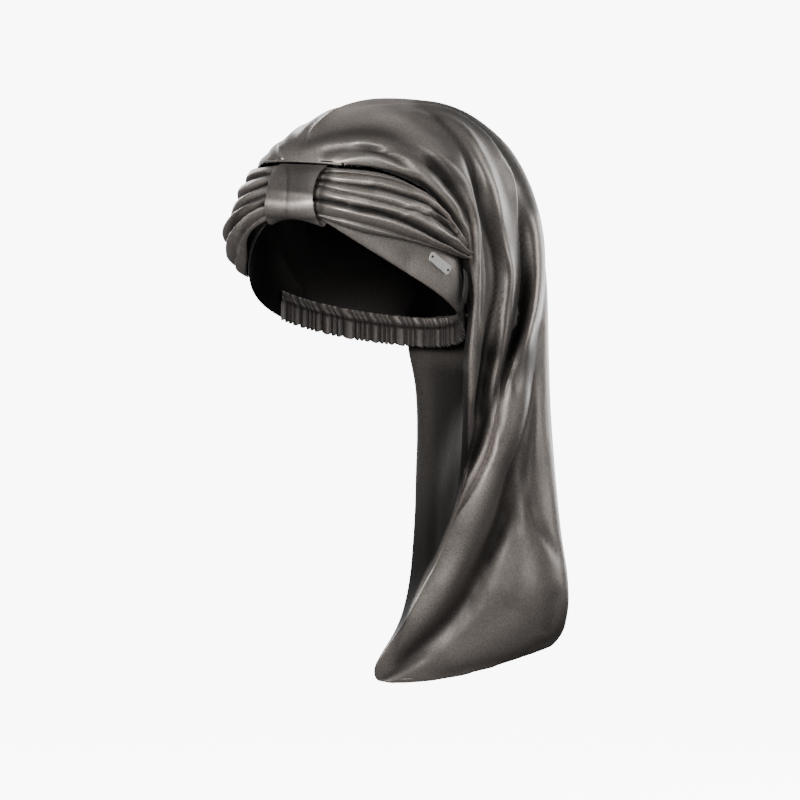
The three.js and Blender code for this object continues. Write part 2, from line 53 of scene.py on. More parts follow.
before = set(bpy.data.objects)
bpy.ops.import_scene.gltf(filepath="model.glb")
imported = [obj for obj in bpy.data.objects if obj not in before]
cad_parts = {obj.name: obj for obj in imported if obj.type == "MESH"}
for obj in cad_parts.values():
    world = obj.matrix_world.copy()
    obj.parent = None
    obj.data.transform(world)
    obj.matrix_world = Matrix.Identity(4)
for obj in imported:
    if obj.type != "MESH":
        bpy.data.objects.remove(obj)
CAD_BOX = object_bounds()
CAD_MIDDLE = (CAD_BOX[0] + CAD_BOX[1]) / 2

# The photograph: where the camera stood, and where the frame's origin and scale fall in it
VIEW_AZIMUTH = math.radians(36)
VIEW_ELEVATION = math.radians(4)
METRES_PER_PIXEL = 0.0008
ORIGIN_PIXEL = Vector((357, 285))
PICTURE_SIDE = 800
ACROSS = Vector((math.cos(VIEW_AZIMUTH), math.sin(VIEW_AZIMUTH), 0))
AWAY = Vector((-math.sin(VIEW_AZIMUTH), math.cos(VIEW_AZIMUTH), 0))
TO_CAMERA = -AWAY * math.cos(VIEW_ELEVATION) + Vector((0, 0, math.sin(VIEW_ELEVATION)))
PICTURE_UP = ACROSS.cross(-TO_CAMERA).normalized()
MERGE_DISTANCE = 1e-5
PAIRING_ANGLE = math.radians(75)  # up to which two triangles become one face
CLOTH = 0.0011  # thickness of the doubled satin


class NightcapSizes(bpy.types.PropertyGroup):
    """Sizes that a user would change"""

    crumple_depth: FloatProperty(
        name="Crumple depth", description="Height of the soft crumples of the satin",
        default=0.0006, unit="LENGTH", precision=5,
    )
    crumple_length: FloatProperty(
        name="Crumple length", description="Distance between the soft crumples",
        default=0.024, unit="LENGTH",
    )
    thread_spacing: FloatProperty(
        name="Thread spacing", description="Distance between the warp threads",
        default=0.0005, unit="LENGTH", precision=5,
    )
    ruffle_count: IntProperty(
        name="Ruffles", description="Ruffles round the elastic casing at the nape", default=42,
    )
    stitch_length: FloatProperty(
        name="Stitch length", description="Length of one seam stitch", default=0.0026, unit="LENGTH",
        precision=5,
    )
    camera_distance: FloatProperty(
        name="Camera distance", description="From the camera to the middle of the picture",
        default=8.0, unit="LENGTH",
    )
    floor_drop: FloatProperty(
        name="Floor drop", description="How far the floor lies below the hem", default=0.25,
        unit="LENGTH",
    )


class NightcapColours(bpy.types.PropertyGroup):
    """Colours that a user would change"""

    satin: FloatVectorProperty(
        name="Satin", description="Colour of the satin", subtype="COLOR", size=3,
        default=(0.30, 0.268, 0.245),
    )
    satin_shade: FloatVectorProperty(
        name="Satin shade", description="Colour in the depth of the satin's weave",
        subtype="COLOR", size=3, default=(0.22, 0.194, 0.178),
    )
    # The casing is sewn of the same satin; its darker colour is painted shade, for the shade it lies in
    # under the crown
    casing: FloatVectorProperty(
        name="Casing", description="Colour of the nape casing", subtype="COLOR", size=3,
        default=(0.16, 0.142, 0.132),
    )
    thread: FloatVectorProperty(
        name="Thread", description="Colour of the sewing thread", subtype="COLOR", size=3,
        default=(0.03, 0.027, 0.025),
    )
    metal: FloatVectorProperty(
        name="Metal", description="Colour of the sewn-on plate", subtype="COLOR", size=3,
        default=(0.9, 0.89, 0.87),
    )
    floor: FloatVectorProperty(
        name="Floor", description="Colour of the floor", subtype="COLOR", size=3,
        default=(0.86, 0.86, 0.86),
    )


# Materials
NOISE_LOW = 0.3  # nearly all the values of a noise lie between these
NOISE_HIGH = 0.7
# The satin is also rougher where shade is painted on it
DULL_CREASES = 0.35  # how much rougher the satin is where it lies dark
SMOOTHER_PATCHES = -0.04  # how far the satin's roughness varies
ROUGHER_PATCHES = 0.05
PATCH_SPACING = 3  # in crumple lengths
WEFT_SPACING = 1.4  # in thread spacings
SPECKLE_SPACING = 2.6  # in thread spacings
WARP_DEPTH = 0.00006
WEFT_DEPTH = 0.00004
TWIST_SPACING = 0.0003
TWIST_DEPTH = 0.00005
SCRATCH_SPACING = 0.0012


def new_material(name):
    material = bpy.data.materials.new(name)
    material.use_nodes = True
    return material, material.node_tree.nodes, material.node_tree.links


def set_inputs(node, values):
    for name, value in values.items():
        node.inputs[name].default_value = value


def stretched_noise(nodes, links, spacing, stretch, detail):
    """Noise in Object coordinates whose lumps are about spacing apart, longer where stretch is larger"""
    coordinates = nodes.new("ShaderNodeTexCoord")
    mapping = nodes.new("ShaderNodeMapping")
    set_inputs(mapping, {"Scale": [1 / (spacing * s) for s in stretch]})
    links.new(coordinates.outputs["Object"], mapping.inputs["Vector"])
    lumps = nodes.new("ShaderNodeTexNoise")
    set_inputs(lumps, {"Scale": 1, "Detail": detail})
    links.new(mapping.outputs["Vector"], lumps.inputs["Vector"])
    return lumps.outputs["Fac"]


def add_bump(nodes, links, height, distance, strength=1.0, under=None):
    bump = nodes.new("ShaderNodeBump")
    set_inputs(bump, {"Strength": strength, "Distance": distance})
    links.new(height, bump.inputs["Height"])
    if under is not None:
        links.new(under, bump.inputs["Normal"])
    return bump.outputs["Normal"]


def ranged(nodes, links, value, low, high):
    """A noise's values, stretched to run from low to high"""
    mapped = nodes.new("ShaderNodeMapRange")
    set_inputs(mapped, {"From Min": NOISE_LOW, "From Max": NOISE_HIGH, "To Min": low, "To Max": high})
    links.new(value, mapped.inputs["Value"])
    return mapped.outputs["Result"]


def satin_material(name, roughness=0.36, colour=None):
    """Woven satin: lengthwise warp threads, soft crumples, a metallic sheen and the painted light and shade
    of the mesh
    """
    sizes, colours = bpy.context.scene.nightcap_sizes, bpy.context.scene.nightcap_colours
    colour = colours.satin if colour is None else colour
    material, nodes, links = new_material(name)
    shader = nodes["Principled BSDF"]
    set_inputs(shader, {"Metallic": 0.55, "Sheen Weight": 0.1, "Sheen Roughness": 0.35})
    warp = stretched_noise(nodes, links, sizes.thread_spacing, (1, 1, 14), 2.0)
    weft = stretched_noise(nodes, links, sizes.thread_spacing * WEFT_SPACING, (6, 6, 1), 1.0)
    crumples = stretched_noise(nodes, links, sizes.crumple_length, (1, 1, 2.2), 3.0)
    patches = stretched_noise(nodes, links, sizes.crumple_length * PATCH_SPACING, (1, 1, 2), 2.0)
    mixed = nodes.new("ShaderNodeMix")
    mixed.data_type = "RGBA"
    set_inputs(mixed, {"A": (*colours.satin_shade, 1), "B": (*colour, 1)})
    links.new(ranged(nodes, links, warp, 0.45, 1.0), mixed.inputs["Factor"])
    # The shade attribute is painted light and shade: it scales the base colour, below 1 for painted shade,
    # above 1 for painted highlights
    shade_value = nodes.new("ShaderNodeAttribute")
    shade_value.attribute_name = "shade"
    speckle = stretched_noise(nodes, links, sizes.thread_spacing * SPECKLE_SPACING, (1, 1, 1), 2.0)
    shade_and_grain = nodes.new("ShaderNodeMath")
    shade_and_grain.operation = "MULTIPLY"
    links.new(shade_value.outputs["Fac"], shade_and_grain.inputs[0])
    links.new(ranged(nodes, links, speckle, 0.8, 1.2), shade_and_grain.inputs[1])
    toned = nodes.new("ShaderNodeVectorMath")
    toned.operation = "SCALE"
    links.new(mixed.outputs["Result"], toned.inputs[0])
    links.new(shade_and_grain.outputs["Value"], toned.inputs["Scale"])
    links.new(toned.outputs["Vector"], shader.inputs["Base Color"])
    dulled = nodes.new("ShaderNodeMapRange")
    set_inputs(dulled, {"To Min": DULL_CREASES, "To Max": 0})
    links.new(shade_value.outputs["Fac"], dulled.inputs["Value"])
    rough = nodes.new("ShaderNodeMath")
    uneven = ranged(nodes, links, patches, roughness + SMOOTHER_PATCHES, roughness + ROUGHER_PATCHES)
    links.new(uneven, rough.inputs[0])
    links.new(dulled.outputs["Result"], rough.inputs[1])
    links.new(rough.outputs["Value"], shader.inputs["Roughness"])
    normal = add_bump(nodes, links, crumples, sizes.crumple_depth)
    normal = add_bump(nodes, links, weft, WEFT_DEPTH, 0.5, normal)
    normal = add_bump(nodes, links, warp, WARP_DEPTH, 0.7, normal)
    links.new(normal, shader.inputs["Normal"])
    return material


def thread_material(name, colour):
    """Twisted sewing thread"""
    material, nodes, links = new_material(name)
    shader = nodes["Principled BSDF"]
    set_inputs(shader, {"Base Color": (*colour, 1), "Roughness": 0.6})
    twist = stretched_noise(nodes, links, TWIST_SPACING, (1, 1, 1), 1.0)
    links.new(add_bump(nodes, links, twist, TWIST_DEPTH), shader.inputs["Normal"])
    return material


def plate_material(name, colour):
    """Brushed metal with fine lengthwise scratches"""
    material, nodes, links = new_material(name)
    shader = nodes["Principled BSDF"]
    set_inputs(shader, {"Base Color": (*colour, 1), "Metallic": 0.3})
    scratches = stretched_noise(nodes, links, SCRATCH_SPACING, (1, 12, 4), 2.0)
    links.new(ranged(nodes, links, scratches, 0.22, 0.38), shader.inputs["Roughness"])
    return material


# Pieces
def new_object(name, data):
    made = bpy.data.objects.new(name, data)
    bpy.context.scene.collection.objects.link(made)
    return made


def add_piece(name, mesh, material, slot, *nodes):
    piece = new_object(name, mesh)
    mesh.materials.clear()
    mesh.materials.append(material)
    mesh.shade_smooth()
    if "shade" not in mesh.attributes:
        write_shade(mesh, np.ones(len(mesh.vertices)))
    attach(piece, "root")
    if nodes:
        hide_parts(*nodes)
    return piece


def subdivided_copy(node, levels):
    """A copy of a CAD node's mesh with its doubles merged, its triangles paired and its faces subdivided"""
    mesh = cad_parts[node].data.copy()
    cloth = bmesh.new()
    cloth.from_mesh(mesh)
    bmesh.ops.remove_doubles(cloth, verts=cloth.verts, dist=MERGE_DISTANCE)
    bmesh.ops.join_triangles(
        cloth, faces=cloth.faces, angle_face_threshold=PAIRING_ANGLE,
        angle_shape_threshold=PAIRING_ANGLE,
    )
    cloth.to_mesh(mesh)
    cloth.free()
    holder = new_object("holder", mesh)
    rounding = holder.modifiers.new("rounding", "SUBSURF")
    rounding.levels = rounding.render_levels = levels
    seen = holder.evaluated_get(bpy.context.evaluated_depsgraph_get())
    shaped = bpy.data.meshes.new_from_object(seen)
    bpy.data.objects.remove(holder)
    bpy.data.meshes.remove(mesh)
    return shaped


def mesh_from(name, shape):
    """A mesh of a finished bmesh, which is freed"""
    mesh = bpy.data.meshes.new(name)
    shape.to_mesh(mesh)
    shape.free()
    return mesh


def surface_of(mesh):
    """A mesh's faces, for rays to meet"""
    shape = bmesh.new()
    shape.from_mesh(mesh)
    surface = BVHTree.FromBMesh(shape)
    shape.free()
    return surface


def flat_grid(name, columns, rows):
    """A grid still to be shaped, and how far across and up each of its points lies, from 0 to 1"""
    shape = bmesh.new()
    bmesh.ops.create_grid(shape, x_segments=columns, y_segments=rows, size=0.5)
    mesh = mesh_from(name, shape)
    points = read_points(mesh)
    return mesh, points[:, 0] + 0.5, points[:, 1] + 0.5


def read_points(mesh):
    flat = np.empty(len(mesh.vertices) * 3, np.float32)
    mesh.vertices.foreach_get("co", flat)
    return flat.reshape(-1, 3).astype(float)


def write_points(mesh, points):
    mesh.vertices.foreach_set("co", points.astype(np.float32).ravel())
    mesh.update()


def read_normals(mesh):
    return np.array([v.normal for v in mesh.vertices])


def to_pixels(points):
    """Where points fall in the photograph, as two columns"""
    across = points @ np.array(ACROSS)
    up = points @ np.array(PICTURE_UP)
    return np.column_stack((ORIGIN_PIXEL.x + across / METRES_PER_PIXEL,
                            ORIGIN_PIXEL.y - up / METRES_PER_PIXEL))


# Folds that the photograph shows, each along a few of its pixels. A ridge has a height in metres
# above the cloth and a valley one below it, and a height of 0 only paints. The tone is painted light
# and shade: along the line the satin's colour is multiplied by 1 + tone, so a tone above 0 is a painted
# highlight and one of 1 doubles the colour, and a tone below 0 is painted shade and one of -1 blackens
# it. West and east are how many pixels the fold spreads to either side of its line, as the line runs
# down the picture.
Fold = namedtuple("Fold", "name height tone west east line")
BAG_FOLDS = (
    Fold("crown_band", -0.0022, -0.72, 8, 7, (
        (285, 152), (321, 141), (350, 135), (380, 136), (403, 145), (427, 159), (450, 181), (468, 203),
    )),
    Fold("crown_light", 0.0012, 0.8, 14, 6, (
        (318, 120), (350, 113), (378, 115), (409, 130), (433, 148), (448, 164),
    )),
    Fold("brow_light", 0.0014, 0.2, 2.2, 2.2, ((300, 156), (329, 148), (359, 147), (380, 151))),
    Fold("brow_dip", -0.0026, -0.65, 5, 5, ((318, 158), (334, 154), (360, 152), (390, 160), (410, 170))),
    Fold("west_shade", 0, -0.45, 14, 14, ((262, 170), (276, 150), (296, 134))),
    Fold("crown_top_light", 0, 1.4, 14, 10, ((330, 103), (360, 97), (395, 97), (420, 103))),
    Fold("crown_east_shade", 0, -0.65, 8, 8, (
        (432, 100), (466, 116), (497, 144), (524, 186), (538, 225),
    )),
    Fold("lip_upper_ridge", 0.0015, 0.5, 2.5, 2.5, (
        (345, 143), (388, 152), (415, 170), (438, 191), (462, 214), (472, 239),
    )),
    Fold("lip_between", -0.0016, -0.6, 2.2, 2.2, (
        (352, 149), (384, 157), (411, 174), (434, 197), (456, 220), (470, 243),
    )),
    Fold("lip_lower_ridge", 0.0018, 1.0, 2, 2.4, (
        (362, 157), (380, 162), (409, 174), (430, 189), (450, 209), (468, 236),
    )),
    Fold("lip_valley", -0.004, -0.7, 3.5, 6, ((424, 160), (440, 178), (457, 202), (471, 232))),
    Fold("side_ridge", 0.0026, 0.8, 3, 3.5, (
        (418, 153), (438, 165), (456, 186), (470, 209), (476, 240), (475, 300), (471, 345), (470, 420),
    )),
    Fold("side_line", -0.0014, -0.6, 1.6, 2, (
        (432, 156), (452, 174), (468, 198), (476, 225), (481, 260), (481, 330),
    )),
    Fold("side_crease", -0.0042, -0.85, 3, 6, (
        (404, 101), (427, 112), (450, 133), (465, 154), (473, 178), (479, 204), (486, 233), (494, 258),
        (495, 293), (488, 328), (485, 365), (480, 400), (476, 440),
    )),
    Fold("crease_light", 0.0012, 0.4, 2.5, 2.5, (
        (418, 104), (444, 120), (466, 146), (482, 172), (486, 200),
    )),
    Fold("pleat_ridge", 0.003, 0.35, 5, 5, (
        (484, 160), (496, 200), (502, 245), (510, 275), (504, 310), (500, 350), (493, 385), (486, 425),
        (482, 445),
    )),
    Fold("facet_panel", 0.0022, 0.5, 14, 1.6, ((496, 152), (509, 171), (522, 195))),
    Fold("facet_shade", -0.0046, -0.85, 6, 4, (
        (521, 196), (523, 240), (522, 290), (516, 330), (508, 358), (497, 390), (485, 425), (473, 455),
        (458, 490),
    )),
    Fold("outer_fold", 0.0026, 0.5, 5, 7, (
        (533, 196), (535, 250), (534, 290), (528, 325), (519, 348), (508, 374), (490, 420), (478, 460),
        (462, 498), (449, 525),
    )),
    Fold("roll_light", 0.0022, 1.0, 10, 12, (
        (530, 365), (515, 395), (493, 455), (470, 520), (454, 554), (433, 593), (402, 634),
    )),
    Fold("roll_groove", -0.0034, -0.68, 10, 6, (
        (524, 436), (513, 466), (504, 516), (487, 562), (470, 594), (448, 622), (417, 650), (384, 678),
    )),
    Fold("tip_pinch", -0.002, -0.3, 3, 2, ((430, 655), (405, 672), (380, 684))),
    Fold("panel_crease", -0.0018, -0.5, 5, 1.8, (
        (543, 312), (540, 330), (535, 363), (533, 416), (528, 469), (526, 492),
    )),
    Fold("panel_edge", -0.0014, -0.35, 5, 1.8, (
        (529, 455), (522, 496), (508, 532), (490, 561), (480, 582),
    )),
    Fold("notch_crease", -0.0022, -0.6, 1.8, 3, (
        (526, 490), (529, 500), (533, 521), (545, 538), (564, 560),
    )),
    Fold("notch_light", 0.001, 0.4, 2, 1.5, ((526, 492), (521, 505), (517, 515))),
    Fold("panel_dimple", -0.0018, -0.3, 7, 5, ((556, 590), (553, 620), (548, 638))),
    Fold("hem_shade", -0.001, -0.5, 5, 5, (
        (430, 680), (472, 668), (508, 660), (536, 648), (563, 630), (570, 600),
    )),
    Fold("roll_upper_shade", 0, -0.5, 9, 12, ((531, 345), (521, 372), (510, 398))),
    Fold("roll_middle_light", 0, 0.6, 7, 8, ((490, 462), (470, 518), (455, 553), (436, 590))),
    Fold("roll_low_dark", 0, -0.5, 6, 6, ((476, 592), (447, 624), (417, 652), (390, 676))),
    Fold("panel_low_light", 0, 0.4, 12, 12, ((525, 610), (480, 640), (440, 662))),
    Fold("side_wrinkle", -0.0012, -0.3, 2, 2, ((470, 404), (476, 411), (484, 417))),
    Fold("panel_swell", 0.0004, 0.3, 10, 14, ((546, 420), (549, 480), (540, 530))),
    Fold("panel_shade", 0, -0.35, 9, 9, ((516, 530), (519, 560), (515, 590), (505, 612))),
    Fold("neck_fold", -0.0014, -0.2, 5, 6, ((430, 352), (436, 450), (432, 590))),
    Fold("neck_fold_inner", 0.0014, 0.3, 5, 6, ((450, 352), (455, 420), (446, 500))),
    Fold("seam_pinch", 0.002, 0.6, 1.5, 1.5, ((285, 168), (283, 160), (281, 152), (280, 146))),
    Fold("front_shade", -0.002, -0.45, 5, 7, ((480, 335), (479, 380), (473, 430), (466, 470))),
)
# Painted shade on the tail's side behind the neck, placed by its normals and not by what the photograph
# sees
NECK_WALL = Fold("neck_wall", 0, -0.93, 75, 3, (
    (469, 250), (467, 345), (466, 420), (464, 470), (456, 500), (438, 545), (424, 572), (408, 612),
    (390, 665),
))
FOLD_FADE = 0.12  # share of a fold's length over which each end runs out
SEEN_WITHIN = 0.0004  # how deep under the first thing seen a point still counts as seen
NEAR_SIDE = 0.003  # how near to a seen point an unseen one moves fully with it
FAR_SIDE = 0.007  # and how near it no longer moves
LEAST_LIFT = 1e-5  # less than this isn't worth a ray
LEAST_TONE = 0.01
CAMERA_REACH = 2.0  # from where rays towards the cap start
# Painted shade falls on the tail's side that faces this way
NECKWARD = np.array((-0.49, -0.86, 0.16))  # the way that the tail's side behind the neck faces
NECKWARD_FROM = 0  # cosine towards that way where it starts to darken
NECKWARD_FULLY = 0.4
HEAD_MIDDLE = np.array((0, 0.02, 0.03))
BELOW_NAPE = -0.075
ABOVE_NAPE = -0.05
# Painted shade on the cloth inside the cap, which faces the head's middle
INNER_PAINTED_SHADE = 0.88  # share of its colour that cloth facing the head loses
INNER_SHADE_FROM = -0.5  # cosine towards the head's middle where it starts to darken
INNER_SHADE_FULLY = 0.1
TUCKED_ABOVE = -0.04  # height above which inner cloth is pushed back in
TUCKED_BY = 0.005
DRAPE_FROM = 0.03  # height below which the far side of the tail hangs in folds
DRAPE_GROWS = 0.06  # further down to where they are full
DRAPE_BEHIND = 0.010  # how far behind what the camera sees they start
DRAPE_FULLY_BEHIND = 0.022
DRAPE_WIDTH = 0.022
DRAPE_LENGTH = 0.20
DRAPE_DEPTH = 0.007


def smooth_step(value, low, high):
    t = np.clip((value - low) / (high - low), 0, 1)
    return t * t * (3 - 2 * t)


def curve_through(line, steps=12):
    """Points along a smooth curve through the corners of a line"""
    corners = np.array(line, float)
    padded = np.vstack((2 * corners[0] - corners[1], corners, 2 * corners[-1] - corners[-2]))
    made = []
    for i in range(len(corners) - 1):
        a, b, c, d = padded[i : i + 4]
        for t in np.linspace(0, 1, steps, endpoint=False):
            bend = 2 * a - 5 * b + 4 * c - d + t * (3 * (b - c) + d - a)
            made.append(b + 0.5 * t * (c - a + t * bend))
    return np.array([*made, corners[-1]])


def fold_strength(pixels, fold):
    """How strongly a fold shows at each of some pixels, from 0 to 1"""
    route = curve_through(fold.line)
    reach = 3 * max(fold.west, fold.east)
    strength = np.zeros(len(pixels))
    near = np.all((pixels > route.min(0) - reach) & (pixels < route.max(0) + reach), axis=1)
    found = pixels[near]
    starts, steps = route[:-1], np.diff(route, axis=0)
    lengths = np.linalg.norm(steps, axis=1)
    before = np.concatenate(([0], np.cumsum(lengths)))
    best = np.full(len(found), np.inf)
    along = np.zeros(len(found))
    west = np.zeros(len(found), bool)
    for start, step, length, passed in zip(starts, steps, lengths, before):
        offset = found - start
        t = np.clip(offset @ step / length**2, 0, 1)
        away = np.linalg.norm(offset - t[:, None] * step, axis=1)
        closer = away < best
        best[closer] = away[closer]
        along[closer] = passed + t[closer] * length
        west[closer] = (step[0] * offset[closer, 1] - step[1] * offset[closer, 0]) > 0
    share = along / before[-1]
    ends = smooth_step(share, 0, FOLD_FADE) * smooth_step(1 - share, 0, FOLD_FADE)
    width = np.where(west, fold.west, fold.east)
    strength[near] = ends * np.exp(-((best / width) ** 2))
    return strength


def depth_behind(surface, point):
    """How far a point lies behind what the photograph's camera sees there, and the normal of that"""
    start = Vector(point) + TO_CAMERA * CAMERA_REACH
    seen, normal, _, distance = surface.ray_cast(start, -TO_CAMERA)
    return (None, None) if seen is None else (CAMERA_REACH - distance, normal)


def sculpt(mesh, folds, shade=None):
    """Raises and sinks the side of a mesh that the photograph shows along its folds, and paints light and
    shade on it
    """
    points = read_points(mesh)
    pixels = to_pixels(points)
    lifted = np.zeros(len(points))
    toned = np.ones(len(points))
    for fold in folds:
        strength = fold_strength(pixels, fold)
        lifted += fold.height * strength
        # A fold's tone paints shade or a highlight on the points that it reaches
        toned *= 1 + fold.tone * strength
    surface = surface_of(mesh)
    moves = np.zeros_like(points)
    shade = np.ones(len(points)) if shade is None else shade
    touched = np.nonzero((np.abs(lifted) > LEAST_LIFT) | (np.abs(toned - 1) > LEAST_TONE))[0]
    shown, hidden = [], []
    for i in touched:
        depth, normal = depth_behind(surface, points[i])
        if depth is None or depth > SEEN_WITHIN:
            hidden.append(i)
            continue
        shown.append(i)
        moves[i] = np.array((normal + TO_CAMERA).normalized()) * lifted[i]
        shade[i] *= toned[i]
    tree = KDTree(max(len(shown), 1))
    for i in shown:
        tree.insert(points[i], i)
    tree.balance()
    for i in hidden:
        _, leader, distance = tree.find(points[i])
        if leader is None or distance > FAR_SIDE:
            continue
        share = 1 - float(smooth_step(distance, NEAR_SIDE, FAR_SIDE))
        moves[i] = moves[leader] * share
        shade[i] *= 1 + (toned[i] - 1) * share
    write_points(mesh, points + spread(mesh, moves, 2))
    write_shade(mesh, spread(mesh, shade[:, None], 1).ravel())


def drape(mesh):
    """Hangs soft lengthwise folds in the far side of the tail, which the photograph doesn't show"""
    points = read_points(mesh)
    surface = surface_of(mesh)
    moves = np.zeros_like(points)
    across = points @ np.array(ACROSS)
    for i in np.nonzero(points[:, 2] < DRAPE_FROM)[0]:
        depth, _ = depth_behind(surface, points[i])
        if depth is None:
            continue
        fullness = smooth_step(depth, DRAPE_BEHIND, DRAPE_FULLY_BEHIND)
        fullness *= smooth_step(DRAPE_FROM - points[i, 2], 0, DRAPE_GROWS)
        spot = Vector((across[i] / DRAPE_WIDTH, 0, points[i, 2] / DRAPE_LENGTH))
        moves[i] = np.array(AWAY) * noise.noise(spot) * DRAPE_DEPTH * fullness
    write_points(mesh, points + spread(mesh, moves, 2))


def painted_inner_shade(mesh):
    """Painted shade under the folds' tones: darker where the cloth faces the head, inside the cap, or faces
    the neck
    """
    points = read_points(mesh)
    normals = read_normals(mesh)
    outwards = points - HEAD_MIDDLE
    outwards /= np.linalg.norm(outwards, axis=1)[:, None]
    facing = (normals * outwards).sum(1)
    over_nape = smooth_step(points[:, 2], BELOW_NAPE, ABOVE_NAPE)
    inside = 1 - INNER_PAINTED_SHADE * smooth_step(-facing, INNER_SHADE_FROM, INNER_SHADE_FULLY) * over_nape
    neckward = smooth_step(normals @ NECKWARD, NECKWARD_FROM, NECKWARD_FULLY) * (1 - over_nape)
    return inside * (1 + NECK_WALL.tone * neckward * fold_strength(to_pixels(points), NECK_WALL))


def tuck_inner_face(mesh):
    """Pushes back in what of the crown's inner face comes out through a deep fold, and takes its painted
    shade off
    """
    points = read_points(mesh)
    normals = read_normals(mesh)
    facing = (normals * (points - HEAD_MIDDLE)).sum(1)
    shade = np.empty(len(points), np.float32)
    mesh.attributes["shade"].data.foreach_get("value", shade)
    surface = surface_of(mesh)
    moves = np.zeros_like(points)
    for i in np.nonzero((facing < 0) & (points[:, 2] > TUCKED_ABOVE))[0]:
        out = Vector(-normals[i])
        hit = surface.ray_cast(Vector(points[i]) + out * SEEN_WITHIN, out, TUCKED_BY)
        if hit[0] is None:
            moves[i] = normals[i] * TUCKED_BY
            shade[i] = 1
    write_points(mesh, points + spread(mesh, moves, 2))
    write_shade(mesh, shade)


def write_shade(mesh, values):
    """Keeps the painted light and shade of each point of a mesh, for the materials"""
    kept = mesh.attributes.get("shade") or mesh.attributes.new("shade", "FLOAT", "POINT")
    kept.data.foreach_set("value", values.astype(np.float32))


def spread(mesh, moves, rounds):
    """Shares each vertex's move with its neighbours, so that no fold tears the cloth"""
    ends = np.empty(len(mesh.edges) * 2, np.int32)
    mesh.edges.foreach_get("vertices", ends)
    first, second = ends.reshape(-1, 2).T
    count = np.maximum(np.bincount(ends, minlength=len(moves)), 1)[:, None]
    for _ in range(rounds):
        total = np.zeros_like(moves)
        np.add.at(total, first, moves[second])
        np.add.at(total, second, moves[first])
        moves = (moves + total / count) / 2
    return moves


class NIGHTCAP_OT_bag(bpy.types.Operator):
    """Makes the crown and tail of the nightcap"""

    bl_idname = "nightcap.make_bag"
    bl_label = "Make crown and tail"

    def execute(self, context):
        mesh = subdivided_copy("crown_and_tail", 2)
        drape(mesh)
        sculpt(mesh, BAG_FOLDS, painted_inner_shade(mesh))
        tuck_inner_face(mesh)
        add_piece("bag", mesh, satin_material("bag_satin"), "satin", "crown_and_tail")
        return {"FINISHED"}


class NIGHTCAP_OT_headband(bpy.types.Operator):
    """Makes the smooth headband and the tucked tab beside the ear"""

    bl_idname = "nightcap.make_headband"
    bl_label = "Make headband"

    def execute(self, context):
        material = satin_material("band_satin")
        band = subdivided_copy("front_band", 2)
        sculpt(band, BAND_FOLDS, painted_inner_shade(band))
        add_piece("headband", band, material, "satin", "front_band")
        tab = subdivided_copy("side_tab", 2)
        sculpt(tab, TAB_FOLDS)
        add_piece("ear_tab", tab, material, "satin", "side_tab")
        return {"FINISHED"}


# The pleats of the overlay. Each line has a height, from about -1 in the deepest valley to about 1 on
# the highest ridge, and where it runs: a share of the overlay's height, from 0 at its lower edge to 1
# at its upper edge, at some turns in degrees from the front, negative on the wearer's right.
PLEAT_TURNS = (-97, -60, -30, -16, 16, 30, 45, 60, 75, 92)
Pleat = namedtuple("Pleat", "name height shares")
PLEATS = (
    Pleat("lower_edge", 0.0, (0, 0, 0, 0, 0, 0, 0, 0, 0, 0)),
    Pleat("hem_ridge", 0.3, (0.06, 0.05, 0.03, 0.05, 0.03, 0.06, 0.06, 0.03, 0.015, 0.01)),
    Pleat("hem_valley", -0.3, (0.12, 0.10, 0.06, 0.10, 0.06, 0.14, 0.13, 0.06, 0.03, 0.02)),
    Pleat("fifth_ridge", 0.7, (0.22, 0.18, 0.14, 0.22, 0.27, 0.30, 0.31, 0.22, 0.11, 0.08)),
    Pleat("fourth_valley", -1.1, (0.32, 0.27, 0.24, 0.30, 0.35, 0.39, 0.38, 0.30, 0.19, 0.15)),
    Pleat("fourth_ridge", 0.9, (0.41, 0.38, 0.33, 0.37, 0.50, 0.51, 0.48, 0.43, 0.36, 0.42)),
    Pleat("third_valley", -0.5, (0.50, 0.48, 0.42, 0.45, 0.65, 0.60, 0.56, 0.52, 0.56, 0.65)),
    Pleat("third_ridge", 0.5, (0.60, 0.58, 0.55, 0.60, 0.70, 0.68, 0.66, 0.62, 0.67, 0.75)),
    Pleat("second_valley", -1.0, (0.69, 0.68, 0.62, 0.69, 0.76, 0.76, 0.77, 0.74, 0.78, 0.84)),
    Pleat("second_ridge", 0.8, (0.77, 0.78, 0.75, 0.785, 0.86, 0.86, 0.88, 0.87, 0.89, 0.91)),
    Pleat("first_valley", -0.6, (0.85, 0.86, 0.86, 0.87, 0.92, 0.955, 0.96, 0.96, 0.96, 0.95)),
    Pleat("first_ridge", 0.4, (0.92, 0.93, 0.94, 0.94, 0.96, 0.98, 0.98, 0.98, 0.98, 0.97)),
    Pleat("upper_edge", 0.0, (1, 1, 1, 1, 1, 1, 1, 1, 1, 1)),
)
